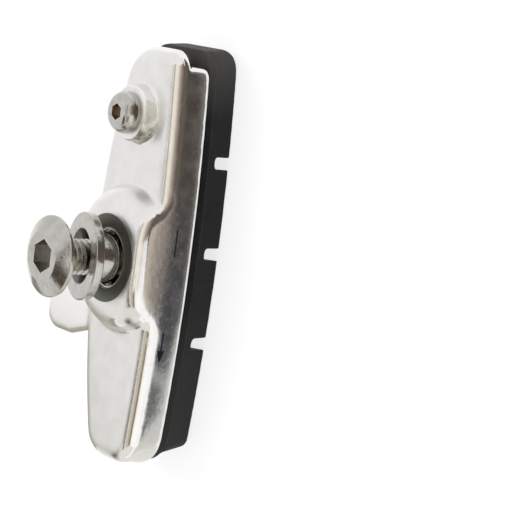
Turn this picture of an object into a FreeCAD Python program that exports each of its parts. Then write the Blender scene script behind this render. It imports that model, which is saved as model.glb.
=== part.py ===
import FreeCAD, Part
import math
import os
import Sketcher

# Threaded brake block for a bicycle rim brake, in millimetres.
# +X points to the front of the bicycle, +Y is the outer side of the rim and +Z runs along the
# fixing bolt, away from the rim. The braking face lies at z = 0 and the bolt axis is the Z axis.

doc = FreeCAD.newDocument("brake_block")
sheet = doc.addObject("Spreadsheet::Sheet", "sizes")

# Driving dimensions
size = {
    # the whole shoe is bowed to follow the rim
    "bow_radius": 260.0,
    "bow_x": -2.1,
    # rubber pad
    "face_half": 5.0,
    "face_rear": -30.0,
    "face_front": 26.4,
    "body_half": 6.5,
    "body_rear": -29.4,
    "body_front": 26.8,
    "pad_corner": 1.6,
    "flange_height": 1.2,
    "flange_inset": 0.35,
    "flange_corner": 3.2,
    "rib_rear": -28.3,
    "heel_round": 3.4,
    "toe_round": 1.3,
    "groove_first": -13.75,
    "groove_pitch": 12.65,
    "groove_count": 3,
    "groove_width": 1.65,
    "groove_depth": 3.1,
    "groove_round": 0.65,
    "groove_slant": 6.0,
    "pad_fit": 0.08,
    # metal holder
    "lip_height": 6.0,
    "lip_outer": 7.2,
    "lip_inner": 7.6,
    "lip_thickness": 1.4,
    "lip_round": 0.5,
    "wall_rear": -27.1,
    "nose_front": 28.7,
    "wall_corner": 1.6,
    "wall_round": 1.2,
    "nose_corner": 5.2,
    "wall_rise": 5.9,
    "crown_inner": 9.2,
    "crown_front": 28.3,
    "crown_corner": 4.2,
    "crown_heel": 5.5,
    "flare_radius": 90.0,
    "flare_x": -1.0,
    "edge_round": 2.0,
    "plate_thickness": 2.5,
    "plate_rear": -29.1,
    "plate_corner": 3.0,
    "mouth_half": 2.8,
    "ledge": 1.1,
    "channel_half": 3.5,
    "channel_front": 18.0,
    "channel_corner": 2.4,
    # bolt boss and its cup
    "boss_rise": 3.35,
    "boss_flat": 6.1,
    "shoulder": 4.0,
    "boss_blend": 0.8,
    "recess_radius": 3.62,
    "recess_depth": 0.9,
    "recess_chamfer": 0.5,
    "seat_gap": 0.03,
    # small boss and screw that keep the pad in place
    "screw_x": -19.8,
    "screw_boss_top": 3.7,
    "screw_boss_foot": 4.05,
    "screw_boss_height": 2.15,
    "screw_radius": 1.5,
    "screw_reach": 1.2,
    "screw_head": 2.85,
    "screw_head_height": 2.1,
    "screw_face": 1.8,
    "screw_key": 2.0,
    "screw_key_depth": 1.2,
    "thread_fit": 0.05,
    # fixing bolt
    "bolt_radius": 2.45,
    "tip_gap": 1.0,
    "tip_chamfer": 0.5,
    "arm_gap": 4.9,
    "head_rim": 0.5,
    "head_cone": 1.2,
    "head_radius": 5.5,
    "head_face": 3.4,
    "head_key": 4.0,
    "head_key_depth": 2.4,
    # flanged ball washer
    "ball_radius": 3.3,
    "ball_rise": 0.3,
    "nose_reach": 1.2,
    "bore_radius": 2.64,
    "bore_tip": 2.84,
    "bore_back": 3.06,
    "bore_front": 3.7,
    "flange_radius": 6.0,
    "washer_flange": 1.25,
    "washer_length": 3.4,
    "washer_tilt": 13.0,
    # wheel-guide ear and its rubber button
    "ear_x": 5.8,
    "ear_half": 7.6,
    "ear_neck": 5.4,
    "ear_tip": 18.9,
    "ear_side": 3.4,
    "ear_corner": 2.8,
    "ear_drop": 0.4,
    "ear_thickness": 2.5,
    "ear_round": 1.2,
    "ear_root": 2.0,
    "button_x": 5.8,
    "button_y": 13.4,
    "button_radius": 3.2,
    "button_height": 4.5,
    "button_chamfer": 1.6,
    "stem_radius": 1.6,
    "stem_length": 1.5,
}
for row, (name, value) in enumerate(size.items(), 1):
    sheet.set("A%d" % row, name)
    sheet.set("B%d" % row, str(value))
    sheet.setAlias("B%d" % row, name)
doc.recompute()


def total(*terms):
    """Sum of named sizes, as a number and as an expression; a leading minus subtracts."""
    number = 0.0
    text = "0 mm"
    for term in terms:
        name = term.lstrip("-")
        sign = "-" if term.startswith("-") else "+"
        number += -size[name] if sign == "-" else size[name]
        text += " %s sizes.%s * 1 mm" % (sign, name)
    return number, text


# Sketch helpers

def plane(body, role):
    return [f for f in body.Origin.OriginFeatures if f.Role == role][0]


def new_sketch(body, name, role, height=None):
    sketch = body.newObject("Sketcher::SketchObject", name)
    sketch.AttachmentSupport = [(plane(body, role), "")]
    sketch.MapMode = "FlatFace"
    if height:
        sketch.setExpression("AttachmentOffset.Base.z", height[1])
    return sketch


def pin(sketch, kind, where, target):
    """Adds a dimension and binds it to its expression; a zero lies on the axis instead."""
    number, text = target
    if kind in ("DistanceX", "DistanceY") and text == "0 mm":
        axis = -2 if kind == "DistanceX" else -1
        sketch.addConstraint(Sketcher.Constraint("PointOnObject", where[0], where[1], axis))
        return
    if kind in ("DistanceX", "DistanceY"):
        place = Sketcher.Constraint(kind, -1, 1, where[0], where[1], number)
    else:
        place = Sketcher.Constraint(kind, where[0], number)
    index = sketch.addConstraint(place)
    sketch.setExpression("Constraints[%d]" % index, text)


def vec(x, y):
    return FreeCAD.Vector(x, y, 0)


def circle(centre, radius):
    return Part.Circle(vec(*centre), FreeCAD.Vector(0, 0, 1), radius)


def arc_between(centre, radius, start, end):
    first = math.atan2(start[1] - centre[1], start[0] - centre[0])
    last = math.atan2(end[1] - centre[1], end[0] - centre[0])
    return Part.ArcOfCircle(circle(centre, radius), first, last)


def bent_outline(sketch, outer, inner, rear, front, rear_corner, front_corner, heel_corner=None):
    """Plan outline of the shoe: two side arcs, two straight ends and four round corners.

    The outer side bulges outwards and the inner side runs along with it. With a heel corner, the
    inner side bulges the other way and has that corner at the rear.
    """
    flared = heel_corner is not None
    heel_corner = heel_corner or rear_corner
    bow = size["bow_radius"]
    turn = size["flare_radius"] if flared else bow
    upper = (size["bow_x"], outer[0] - bow)
    lower = (size["flare_x"], turn - inner[0]) if flared else (size["bow_x"], -inner[0] - bow)

    def corner(centre, curve, reach, x, side):
        middle = (x, centre[1] + side * math.sqrt(reach ** 2 - (x - centre[0]) ** 2))
        touch = tuple(c + (m - c) * curve / reach for c, m in zip(centre, middle))
        return middle, touch

    rc, fc, hc = rear_corner[0], front_corner[0], heel_corner[0]
    sign = -1 if flared else 1
    fo, fo_touch = corner(upper, bow, bow - fc, front[0] - fc, 1)
    ro, ro_touch = corner(upper, bow, bow - rc, rear[0] + rc, 1)
    fi, fi_touch = corner(lower, turn, turn + sign * fc, front[0] - fc, sign)
    ri, ri_touch = corner(lower, turn, turn + sign * hc, rear[0] + hc, sign)
    inner_ends = (ri_touch, fi_touch) if flared else (fi_touch, ri_touch)
    sketch.addGeometry([
        arc_between(upper, bow, fo_touch, ro_touch),
        arc_between(ro, rc, ro_touch, (rear[0], ro[1])),
        Part.LineSegment(vec(rear[0], ro[1]), vec(rear[0], ri[1])),
        arc_between(ri, hc, (rear[0], ri[1]), ri_touch),
        arc_between(lower, turn, *inner_ends),
        arc_between(fi, fc, fi_touch, (front[0], fi[1])),
        Part.LineSegment(vec(front[0], fi[1]), vec(front[0], fo[1])),
        arc_between(fo, fc, (front[0], fo[1]), fo_touch),
    ])
    first, last = (1, 2) if flared else (2, 1)
    joints = [(0, 2, 1, 1), (1, 2, 2, 1), (2, 2, 3, 1), (3, 2, 4, first),
              (4, last, 5, 1), (5, 2, 6, 1), (6, 2, 7, 1), (7, 2, 0, 1)]
    for joint in joints:
        sketch.addConstraint(Sketcher.Constraint("Tangent", *joint))
    sketch.addConstraint(Sketcher.Constraint("Vertical", 2))
    sketch.addConstraint(Sketcher.Constraint("Vertical", 6))
    bow_text = "sizes.bow_radius * 1 mm"
    pin(sketch, "Radius", (0,), (bow, bow_text))
    pin(sketch, "DistanceX", (0, 3), (upper[0], "sizes.bow_x * 1 mm"))
    pin(sketch, "DistanceY", (0, 3), (upper[1], "%s - %s" % (outer[1], bow_text)))
    turn_text = "sizes.flare_radius * 1 mm" if flared else bow_text
    height_text = "%s - (%s)" if flared else "0 mm - %s - (%s)"
    pin(sketch, "Radius", (4,), (turn, turn_text))
    middle = "flare_x" if flared else "bow_x"
    pin(sketch, "DistanceX", (4, 3), (lower[0], "sizes.%s * 1 mm" % middle))
    pin(sketch, "DistanceY", (4, 3), (lower[1], height_text % (turn_text, inner[1])))
    pin(sketch, "DistanceX", (2, 1), rear)
    pin(sketch, "DistanceX", (6, 1), front)
    for geo, radius in ((1, rear_corner), (3, heel_corner), (5, front_corner), (7, front_corner)):
        pin(sketch, "Radius", (geo,), radius)


def profile(sketch, points, arcs=()):
    """Closed outline through named points; arcs maps a segment's number to (radius, centre)."""
    arcs = dict(arcs)
    count = len(points)
    ends = []
    for i, (x, y) in enumerate(points):
        far = points[(i + 1) % count]
        a, b = (x[0], y[0]), (far[0][0], far[1][0])
        if i not in arcs:
            sketch.addGeometry(Part.LineSegment(vec(*a), vec(*b)))
            ends.append((1, 2))
            continue
        radius, centre = arcs[i]
        from_a = (a[0] - centre[0], a[1] - centre[1])
        from_b = (b[0] - centre[0], b[1] - centre[1])
        forward = from_a[0] * from_b[1] - from_a[1] * from_b[0] > 0
        sketch.addGeometry(arc_between(centre, radius[0], a if forward else b, b if forward else a))
        ends.append((1, 2) if forward else (2, 1))
        pin(sketch, "Radius", (i,), radius)
    for i, (x, y) in enumerate(points):
        before = (i - 1) % count
        sketch.addConstraint(Sketcher.Constraint("Coincident", before, ends[before][1], i, ends[i][0]))
        pin(sketch, "DistanceX", (i, ends[i][0]), x)
        pin(sketch, "DistanceY", (i, ends[i][0]), y)


def hexagon(sketch, across):
    """Hexagon round the sketch's origin, two corners on its X axis, by its width across flats."""
    radius = across[0] / math.sqrt(3)
    turns = [k * math.pi / 3 for k in range(6)]
    spots = [(radius * math.cos(turn), radius * math.sin(turn)) for turn in turns]
    for k in range(6):
        sketch.addGeometry(Part.LineSegment(vec(*spots[k]), vec(*spots[(k + 1) % 6])))
    for k in range(6):
        sketch.addConstraint(Sketcher.Constraint("Coincident", k, 2, (k + 1) % 6, 1))
    ring = sketch.addGeometry(circle((0, 0), radius), True)
    sketch.addConstraint(Sketcher.Constraint("Coincident", ring, 3, -1, 1))
    for k in range(6):
        sketch.addConstraint(Sketcher.Constraint("PointOnObject", k, 1, ring))
    for k in range(5):
        sketch.addConstraint(Sketcher.Constraint("Equal", k, k + 1))
    sketch.addConstraint(Sketcher.Constraint("PointOnObject", 0, 1, -1))
    pin(sketch, "Radius", (ring,), (radius, "%s / sqrt(3)" % across[1]))


def new_body(name):
    body = doc.addObject("PartDesign::Body", name)
    body.Label = name
    return body


def loft(body, name, upper, lower):
    feature = body.newObject("PartDesign::AdditiveLoft", name)
    feature.Profile = upper
    feature.Sections = [lower]
    feature.Ruled = True
    doc.recompute()
    return feature


def extrude(body, kind, name, sketch, length, reverse=False, midplane=False):
    """Pad or Pocket of one length; the change of volume shows that it met the solid."""
    before = body.Shape.Volume if body.Shape and not body.Shape.isNull() else 0.0
    feature = body.newObject("PartDesign::" + kind, name)
    feature.Profile = sketch
    feature.setExpression("Length", length[1])
    feature.Reversed = reverse
    if midplane:
        feature.SideType = "Symmetric"
    doc.recompute()
    change = body.Shape.Volume - before
    if change * (1 if kind == "Pad" else -1) <= 0:
        raise RuntimeError("%s changed the volume by %.3f" % (name, change))
    return feature


def revolve(body, kind, name, sketch):
    before = body.Shape.Volume if body.Shape and not body.Shape.isNull() else 0.0
    feature = body.newObject("PartDesign::" + kind, name)
    feature.Profile = sketch
    feature.ReferenceAxis = (sketch, ["V_Axis"])
    feature.Angle = 360
    doc.recompute()
    change = body.Shape.Volume - before
    if change * (1 if kind == "Revolution" else -1) <= 0:
        raise RuntimeError("%s changed the volume by %.3f" % (name, change))
    return feature


def round_edges(body, name, base, edges, radius):
    feature = body.newObject("PartDesign::Fillet", name)
    feature.Base = (base, edges)
    feature.setExpression("Radius", radius[1])
    doc.recompute()
    return feature


zero = total()
bow_at_screw = "(sizes.screw_x - sizes.bow_x)^2 / (2 * sizes.bow_radius) * 1 mm"
screw_y = "0 mm - %s" % bow_at_screw


# Heights above the braking face, each built on the one below

back_z = ("lip_height", "wall_rise")
roof_z = back_z + ("-plate_thickness",)
boss_z = back_z + ("boss_rise",)
ball_z = boss_z + ("ball_rise",)
ear_z = back_z + ("-ear_drop", "-ear_thickness")
seat_z = back_z + ("screw_boss_height",)
head_z = ball_z + ("washer_length", "arm_gap")


# Wheel-guide ear: a flat lobe, wider at its end, with all its free edges rounded

def edges_where(shape, test):
    return ["Edge%d" % number for number, edge in enumerate(shape.Edges, 1) if test(edge)]


def level(edge, height):
    box = edge.BoundBox
    return abs(box.ZMin - height) < 1e-4 and abs(box.ZMax - height) < 1e-4


ear_body = new_body("guide_ear")
ear_sketch = new_sketch(ear_body, "ear_outline", "XY_Plane", total(*ear_z))
ear_left = total("ear_x", "-ear_half")
ear_right = total("ear_x", "ear_half")
ear_base = total("-lip_inner", "ear_root")
ear_bend = total("-ear_tip", "ear_corner")
ear_waist = total("-ear_tip", "ear_corner", "ear_side")
ear_end = total("-ear_tip")
profile(ear_sketch, [
    (total("ear_x", "-ear_neck"), ear_base),
    (ear_left, ear_waist),
    (ear_left, ear_bend),
    (total("ear_x", "-ear_half", "ear_corner"), ear_end),
    (total("ear_x", "ear_half", "-ear_corner"), ear_end),
    (ear_right, ear_bend),
    (ear_right, ear_waist),
    (total("ear_x", "ear_neck"), ear_base),
], {
    2: (total("ear_corner"), (ear_left[0] + size["ear_corner"], ear_bend[0])),
    4: (total("ear_corner"), (ear_right[0] - size["ear_corner"], ear_bend[0])),
})
ear = extrude(ear_body, "Pad", "ear", ear_sketch, total("ear_thickness"))
ear_floor = total(*ear_z)[0]
ear_top = total(*ear_z, "ear_thickness")[0]
ear_rim = edges_where(ear.Shape, lambda e: (level(e, ear_floor) or level(e, ear_top))
                      and e.CenterOfMass.y < ear_base[0] - 1e-3)
round_edges(ear_body, "ear_edges", ear, ear_rim, total("ear_round"))


# Holder: lip, walls with the back and its boss, ear, then the channel and the holes

holder = new_body("shoe_holder")
lip = new_sketch(holder, "lip_outline", "XY_Plane", total("lip_height"))
bent_outline(lip, total("lip_outer"), total("lip_inner"), total("wall_rear"), total("nose_front"),
             total("wall_corner"), total("nose_corner"))
lip_pad = extrude(holder, "Pad", "lip", lip, total("lip_thickness"))
lip_rim = edges_where(lip_pad.Shape, lambda e: level(e, size["lip_height"]))
round_edges(holder, "lip_edge", lip_pad, lip_rim, total("lip_round"))
crown = new_sketch(holder, "crown_outline", "XY_Plane", total("lip_height", "lip_round"))
bent_outline(crown, total("lip_outer"), total("crown_inner"), total("plate_rear"), total("crown_front"),
             total("plate_corner"), total("crown_corner"), total("crown_heel"))
extrude(holder, "Pad", "walls", crown, total("wall_rise", "boss_rise", "-lip_round"))

# The top is turned about the bolt axis: a flat disc on a round mound that runs out into the back.
drop = size["boss_rise"] - size["shoulder"] - size["boss_blend"]
span = size["shoulder"] + size["boss_blend"]
run = math.sqrt(span ** 2 - drop ** 2)
share = size["shoulder"] / span
span_text = "(sizes.shoulder * 1 mm + sizes.boss_blend * 1 mm)"
drop_text = "(sizes.boss_rise * 1 mm - %s)" % span_text
run_text = "sqrt(%s^2 - %s^2)" % (span_text, drop_text)
share_text = "(sizes.shoulder * 1 mm / %s)" % span_text
flat_text = "sizes.boss_flat * 1 mm"
bend = (size["boss_flat"] + run * share, "%s + %s * %s" % (flat_text, run_text, share_text))
bend_z = (total(*boss_z)[0] - size["shoulder"] - drop * share,
          "%s - sizes.shoulder * 1 mm - %s * %s" % (total(*boss_z)[1], drop_text, share_text))
foot = (size["boss_flat"] + run, "%s + %s" % (flat_text, run_text))
turned = new_sketch(holder, "mound_profile", "XZ_Plane")
outside = total("nose_front", "lip_outer")
above = total(*boss_z, "boss_rise")
profile(turned, [
    (total("boss_flat"), total(*boss_z)),
    (bend, bend_z),
    (foot, total(*back_z)),
    (outside, total(*back_z)),
    (outside, above),
    (total("boss_flat"), above),
], {
    0: (total("shoulder"), (size["boss_flat"], total(*boss_z, "-shoulder")[0])),
    1: (total("boss_blend"), (foot[0], total(*back_z, "boss_blend")[0])),
})
mound = revolve(holder, "Groove", "mound", turned)


def on_rim(edge):
    """True for the edges between the turned top and the walls, not those of the turning itself."""
    if edge.BoundBox.ZMin < total(*back_z)[0] - 1e-4 or abs(edge.CenterOfMass.y) < 1e-6:
        return False
    curve = edge.Curve
    return not (hasattr(curve, "Center") and math.hypot(curve.Center.x, curve.Center.y) < 1e-4)


round_edges(holder, "rim", mound, edges_where(mound.Shape, on_rim), total("edge_round"))

# Behind the walls only the back plate goes on; the outer wall turns round its rear corner.
heel_gap = new_sketch(holder, "heel_gap_outline", "XY_Plane", total("lip_height"))
behind = total("plate_rear", "-plate_corner")
aside = total("crown_inner", "plate_corner")
corner_x = total("wall_rear", "wall_round")
corner_y = size["lip_outer"] - (corner_x[0] - size["bow_x"]) ** 2 / (2 * size["bow_radius"])
corner_text = "sizes.lip_outer * 1 mm - (sizes.wall_rear + sizes.wall_round - sizes.bow_x)^2 "
corner_text += "/ (2 * sizes.bow_radius) * 1 mm"
bend_y = (corner_y - 0.98 * size["wall_round"], corner_text + " - 0.98 * sizes.wall_round * 1 mm")
clear_y = (corner_y + 0.02 * size["wall_round"], corner_text + " + 0.02 * sizes.wall_round * 1 mm")
profile(heel_gap, [
    (total("wall_rear"), total("-crown_inner", "-plate_corner")),
    (total("wall_rear"), bend_y),
    (corner_x, clear_y),
    (corner_x, aside),
    (behind, aside),
    (behind, total("-crown_inner", "-plate_corner")),
], {1: (total("wall_round"), (corner_x[0], bend_y[0]))})
extrude(holder, "Pocket", "heel_gap", heel_gap, total(*roof_z, "-lip_height"), reverse=True)

ear_joint = holder.newObject("PartDesign::Boolean", "ear_joint")
ear_joint.setObjects([ear_body])
ear_joint.Type = "Fuse"
doc.recompute()

screw_boss = new_sketch(holder, "screw_boss_profile", "XZ_Plane")
screw_boss.setExpression("AttachmentOffset.Base.x", "sizes.screw_x * 1 mm")
screw_boss.setExpression("AttachmentOffset.Base.z", bow_at_screw)
profile(screw_boss, [
    (zero, total(*back_z, "-edge_round")),
    (total("screw_boss_foot"), total(*back_z, "-edge_round")),
    (total("screw_boss_foot"), total(*back_z)),
    (total("screw_boss_top"), total(*back_z, "screw_boss_height")),
    (zero, total(*back_z, "screw_boss_height")),
])
revolve(holder, "Revolution", "screw_boss", screw_boss)

mouth = new_sketch(holder, "channel_mouth", "XY_Plane", total("lip_height"))
channel_rear = total("plate_rear", "-plate_corner")
mouth_front = ("channel_front", "-channel_half", "mouth_half")
bent_outline(mouth, total("mouth_half"), total("mouth_half"), channel_rear, total(*mouth_front),
             total("channel_corner"), total("channel_corner"))
extrude(holder, "Pocket", "mouth", mouth, total(*roof_z, "-lip_height"), reverse=True)
inner = new_sketch(holder, "channel_inside", "XY_Plane", total("lip_height", "ledge"))
bent_outline(inner, total("channel_half"), total("channel_half"), channel_rear, total("channel_front"),
             total("channel_corner"), total("channel_corner"))
extrude(holder, "Pocket", "channel", inner, total(*roof_z, "-lip_height", "-ledge"), reverse=True)

# Cup for the ball washer: chamfer, recess, spherical seat and tapped hole, turned about the bolt axis.
seat_radius = total("ball_radius", "seat_gap")
ball_centre = total(*ball_z)[0]
recess_floor = total(*boss_z, "-recess_depth")
floor_drop = size["ball_rise"] + size["recess_depth"]
floor_reach = math.sqrt(seat_radius[0] ** 2 - floor_drop ** 2)
hole = total("bolt_radius", "thread_fit")
hole_drop = math.sqrt(seat_radius[0] ** 2 - hole[0] ** 2)
floor_text = "sqrt((%s)^2 - (sizes.ball_rise * 1 mm + sizes.recess_depth * 1 mm)^2)" % seat_radius[1]
hole_text = "%s - sqrt((%s)^2 - (%s)^2)" % (total(*ball_z)[1], seat_radius[1], hole[1])
cup = new_sketch(holder, "cup_profile", "XZ_Plane")
mouth_edge = total("recess_radius", "recess_chamfer")
profile(cup, [
    (zero, total(*roof_z, "-ledge")),
    (hole, total(*roof_z, "-ledge")),
    (hole, (ball_centre - hole_drop, hole_text)),
    ((floor_reach, floor_text), recess_floor),
    (total("recess_radius"), recess_floor),
    (total("recess_radius"), total(*boss_z, "-recess_chamfer")),
    (mouth_edge, total(*boss_z)),
    (mouth_edge, total(*boss_z, "recess_chamfer")),
    (zero, total(*boss_z, "recess_chamfer")),
], {2: (seat_radius, (0.0, ball_centre))})
revolve(holder, "Groove", "cup", cup)

screw_hole = new_sketch(holder, "screw_hole_profile", "XZ_Plane")
screw_hole.setExpression("AttachmentOffset.Base.x", "sizes.screw_x * 1 mm")
screw_hole.setExpression("AttachmentOffset.Base.z", bow_at_screw)
screw_bore = total("screw_radius", "thread_fit")
profile(screw_hole, [
    (zero, total(*roof_z, "-ledge")),
    (screw_bore, total(*roof_z, "-ledge")),
    (screw_bore, total(*back_z, "screw_boss_height", "ledge")),
    (zero, total(*back_z, "screw_boss_height", "ledge")),
])
revolve(holder, "Groove", "screw_hole", screw_hole)

button_hole = new_sketch(holder, "button_hole_outline", "XY_Plane", total(*ear_z))
ring = button_hole.addGeometry(circle((size["button_x"], -size["button_y"]), size["stem_radius"]))
pin(button_hole, "DistanceX", (ring, 3), total("button_x"))
pin(button_hole, "DistanceY", (ring, 3), total("-button_y"))
pin(button_hole, "Radius", (ring,), total("stem_radius"))
extrude(holder, "Pocket", "button_hole", button_hole, total("stem_length", "pad_fit"), reverse=True)


# Rubber pad: tapered body, base flange, rib in the channel, round ends and three water grooves

pad = new_body("brake_pad")
flange_low = total("lip_height", "-flange_height")
face = new_sketch(pad, "face_outline", "XY_Plane")
bent_outline(face, total("face_half"), total("face_half"), total("face_rear"), total("face_front"),
             total("pad_corner"), total("pad_corner"))
base = new_sketch(pad, "body_outline", "XY_Plane", flange_low)
bent_outline(base, total("body_half"), total("body_half"), total("body_rear"), total("body_front"),
             total("pad_corner"), total("pad_corner"))
loft(pad, "pad_body", base, face)

flange = new_sketch(pad, "flange_outline", "XY_Plane", flange_low)
flange_half = total("lip_outer", "-flange_inset")
bent_outline(flange, flange_half, flange_half, total("body_rear"), total("nose_front", "-flange_inset"),
             total("flange_corner"), total("nose_corner"))
extrude(pad, "Pad", "pad_flange", flange, total("flange_height"))
neck = new_sketch(pad, "neck_outline", "XY_Plane", flange_low)
bent_outline(neck, total("mouth_half", "-pad_fit"), total("mouth_half", "-pad_fit"), total("rib_rear"),
             total(*mouth_front, "-pad_fit"), total("wall_corner"), total("channel_corner"))
extrude(pad, "Pad", "pad_neck", neck, total("flange_height", *roof_z, "-pad_fit", "-lip_height"))
rib = new_sketch(pad, "rib_outline", "XY_Plane", total("lip_height", "ledge", "pad_fit"))
bent_outline(rib, total("channel_half", "-pad_fit"), total("channel_half", "-pad_fit"), total("rib_rear"),
             total("channel_front", "-pad_fit"), total("wall_corner"), total("channel_corner"))
extrude(pad, "Pad", "pad_rib", rib, total(*roof_z, "-pad_fit", "-pad_fit", "-lip_height", "-ledge"))


def end_cut(name, edge, radius, direction):
    """Cuts a round corner between the braking face and one end of the pad, right across."""
    sketch = new_sketch(pad, name + "_profile", "XZ_Plane")
    side = total(radius)
    below = total("-" + radius)
    signs = "-+" if direction > 0 else "+-"
    inside = (edge[0] - direction * side[0], "%s %s (%s)" % (edge[1], signs[0], side[1]))
    beyond = (edge[0] + direction * side[0], "%s %s (%s)" % (edge[1], signs[1], side[1]))
    profile(sketch, [
        (inside, zero),
        (edge, side),
        (beyond, side),
        (beyond, below),
        (inside, below),
    ], {0: (side, (inside[0], side[0]))})
    across = total("lip_outer", "lip_outer", "lip_outer", "lip_outer")
    extrude(pad, "Pocket", name, sketch, across, midplane=True)


# The toe leans forward, so its corner is cut a little before the face's front edge.
toe_edge = total("face_front")
toe_edge = (toe_edge[0] + 0.3 * size["toe_round"], "%s + 0.3 * sizes.toe_round * 1 mm" % toe_edge[1])
end_cut("heel", total("face_rear"), "heel_round", -1)
end_cut("toe", toe_edge, "toe_round", 1)

groove = new_sketch(pad, "groove_outline", "XY_Plane")
slant = math.radians(size["groove_slant"])
along = (-math.sin(slant), math.cos(slant))
across = (math.cos(slant), math.sin(slant))
reach = 2 * size["lip_inner"]
half = size["groove_width"] / 2


def groove_corner(side, end):
    return vec(size["groove_first"] + across[0] * half * side + along[0] * reach * end,
               across[1] * half * side + along[1] * reach * end)


corners = [groove_corner(-1, -1), groove_corner(1, -1), groove_corner(1, 1), groove_corner(-1, 1)]
for k in range(4):
    groove.addGeometry(Part.LineSegment(corners[k], corners[(k + 1) % 4]))
for k in range(4):
    groove.addConstraint(Sketcher.Constraint("Coincident", k, 2, (k + 1) % 4, 1))
ends = [vec(size["groove_first"] + along[0] * reach * end, along[1] * reach * end) for end in (-1, 1)]
centre = groove.addGeometry(Part.LineSegment(*ends), True)
groove.addConstraint(Sketcher.Constraint("Symmetric", 0, 1, 0, 2, centre, 1))
groove.addConstraint(Sketcher.Constraint("Symmetric", 2, 2, 2, 1, centre, 2))
groove.addConstraint(Sketcher.Constraint("Perpendicular", 0, 1))
groove.addConstraint(Sketcher.Constraint("Perpendicular", 1, 2))
middle = groove.addGeometry(Part.Point(vec(size["groove_first"], 0)), True)
groove.addConstraint(Sketcher.Constraint("Symmetric", centre, 1, centre, 2, middle, 1))
groove.addConstraint(Sketcher.Constraint("PointOnObject", middle, 1, -1))
pin(groove, "DistanceX", (middle, 1), total("groove_first"))
pin(groove, "Distance", (0,), total("groove_width"))
pin(groove, "Distance", (centre,), (2 * reach, "4 * sizes.lip_inner * 1 mm"))
tilt = groove.addConstraint(Sketcher.Constraint("Angle", -2, 1, centre, 1, slant))
groove.setExpression("Constraints[%d]" % tilt, "sizes.groove_slant * 1 deg")
first_groove = extrude(pad, "Pocket", "groove", groove, total("groove_depth"), reverse=True)
row = pad.newObject("PartDesign::LinearPattern", "groove_row")
row.Originals = [first_groove]
row.Direction = (plane(pad, "X_Axis"), [""])
row.setExpression("Length", "(sizes.groove_count - 1) * sizes.groove_pitch * 1 mm")
row.setExpression("Occurrences", "sizes.groove_count")
pad.Tip = row
doc.recompute()
floor_edges = edges_where(row.Shape, lambda e: level(e, size["groove_depth"])
                          and e.Length > size["face_half"])
round_edges(pad, "groove_floors", row, floor_edges, total("groove_round"))

notch = new_sketch(pad, "screw_notch_profile", "XZ_Plane")
notch.setExpression("AttachmentOffset.Base.x", "sizes.screw_x * 1 mm")
notch.setExpression("AttachmentOffset.Base.z", bow_at_screw)
notch_radius = total("screw_radius", "pad_fit")
notch_floor = total(*roof_z, "-screw_reach", "-pad_fit")
profile(notch, [
    (zero, notch_floor),
    (notch_radius, notch_floor),
    (notch_radius, total(*back_z)),
    (zero, total(*back_z)),
])
revolve(pad, "Groove", "screw_notch", notch)


# Pad screw: button head with a hexagon socket, standing on its boss

screw = new_body("pad_screw")
screw.setExpression("Placement.Base.x", "sizes.screw_x * 1 mm")
screw.setExpression("Placement.Base.y", screw_y)
screw_seat = total(*back_z, "screw_boss_height")
screw_top = total(*back_z, "screw_boss_height", "screw_head_height")
screw_tip = total(*roof_z, "-screw_reach")
dome_rise = size["screw_head_height"]
dome_run = size["screw_head"] - size["screw_face"]
dome = (dome_run ** 2 + dome_rise ** 2) / (2 * dome_run)
dome_text = ("((sizes.screw_head - sizes.screw_face)^2 + sizes.screw_head_height^2)"
             " / (2 * (sizes.screw_head - sizes.screw_face)) * 1 mm")
screw_sketch = new_sketch(screw, "screw_profile", "XZ_Plane")
profile(screw_sketch, [
    (zero, screw_tip),
    (total("screw_radius"), screw_tip),
    (total("screw_radius"), screw_seat),
    (total("screw_head"), screw_seat),
    (total("screw_face"), screw_top),
    (zero, screw_top),
], {3: ((dome, dome_text), (size["screw_head"] - dome, screw_seat[0]))})
revolve(screw, "Revolution", "screw_body", screw_sketch)
screw_socket = new_sketch(screw, "screw_socket", "XY_Plane", screw_top)
hexagon(screw_socket, total("screw_key"))
extrude(screw, "Pocket", "screw_key_hole", screw_socket, total("screw_key_depth"))


# Fixing bolt: conical head with a hexagon socket on a straight shank

bolt = new_body("fixing_bolt")
bolt_sketch = new_sketch(bolt, "bolt_profile", "XZ_Plane")
cone_base = total(*head_z, "head_rim")
bolt_top = total(*head_z, "head_rim", "head_cone")
profile(bolt_sketch, [
    (zero, total(*roof_z, "tip_gap")),
    (total("bolt_radius", "-tip_chamfer"), total(*roof_z, "tip_gap")),
    (total("bolt_radius"), total(*roof_z, "tip_gap", "tip_chamfer")),
    (total("bolt_radius"), total(*head_z)),
    (total("head_radius"), total(*head_z)),
    (total("head_radius"), cone_base),
    (total("head_face"), bolt_top),
    (zero, bolt_top),
])
revolve(bolt, "Revolution", "bolt_body", bolt_sketch)
bolt_socket = new_sketch(bolt, "bolt_socket", "XY_Plane", bolt_top)
hexagon(bolt_socket, total("head_key"))
extrude(bolt, "Pocket", "bolt_key_hole", bolt_socket, total("head_key_depth"))


# Ball washer: turned about its own axis, which leans on the ball's centre

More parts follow.
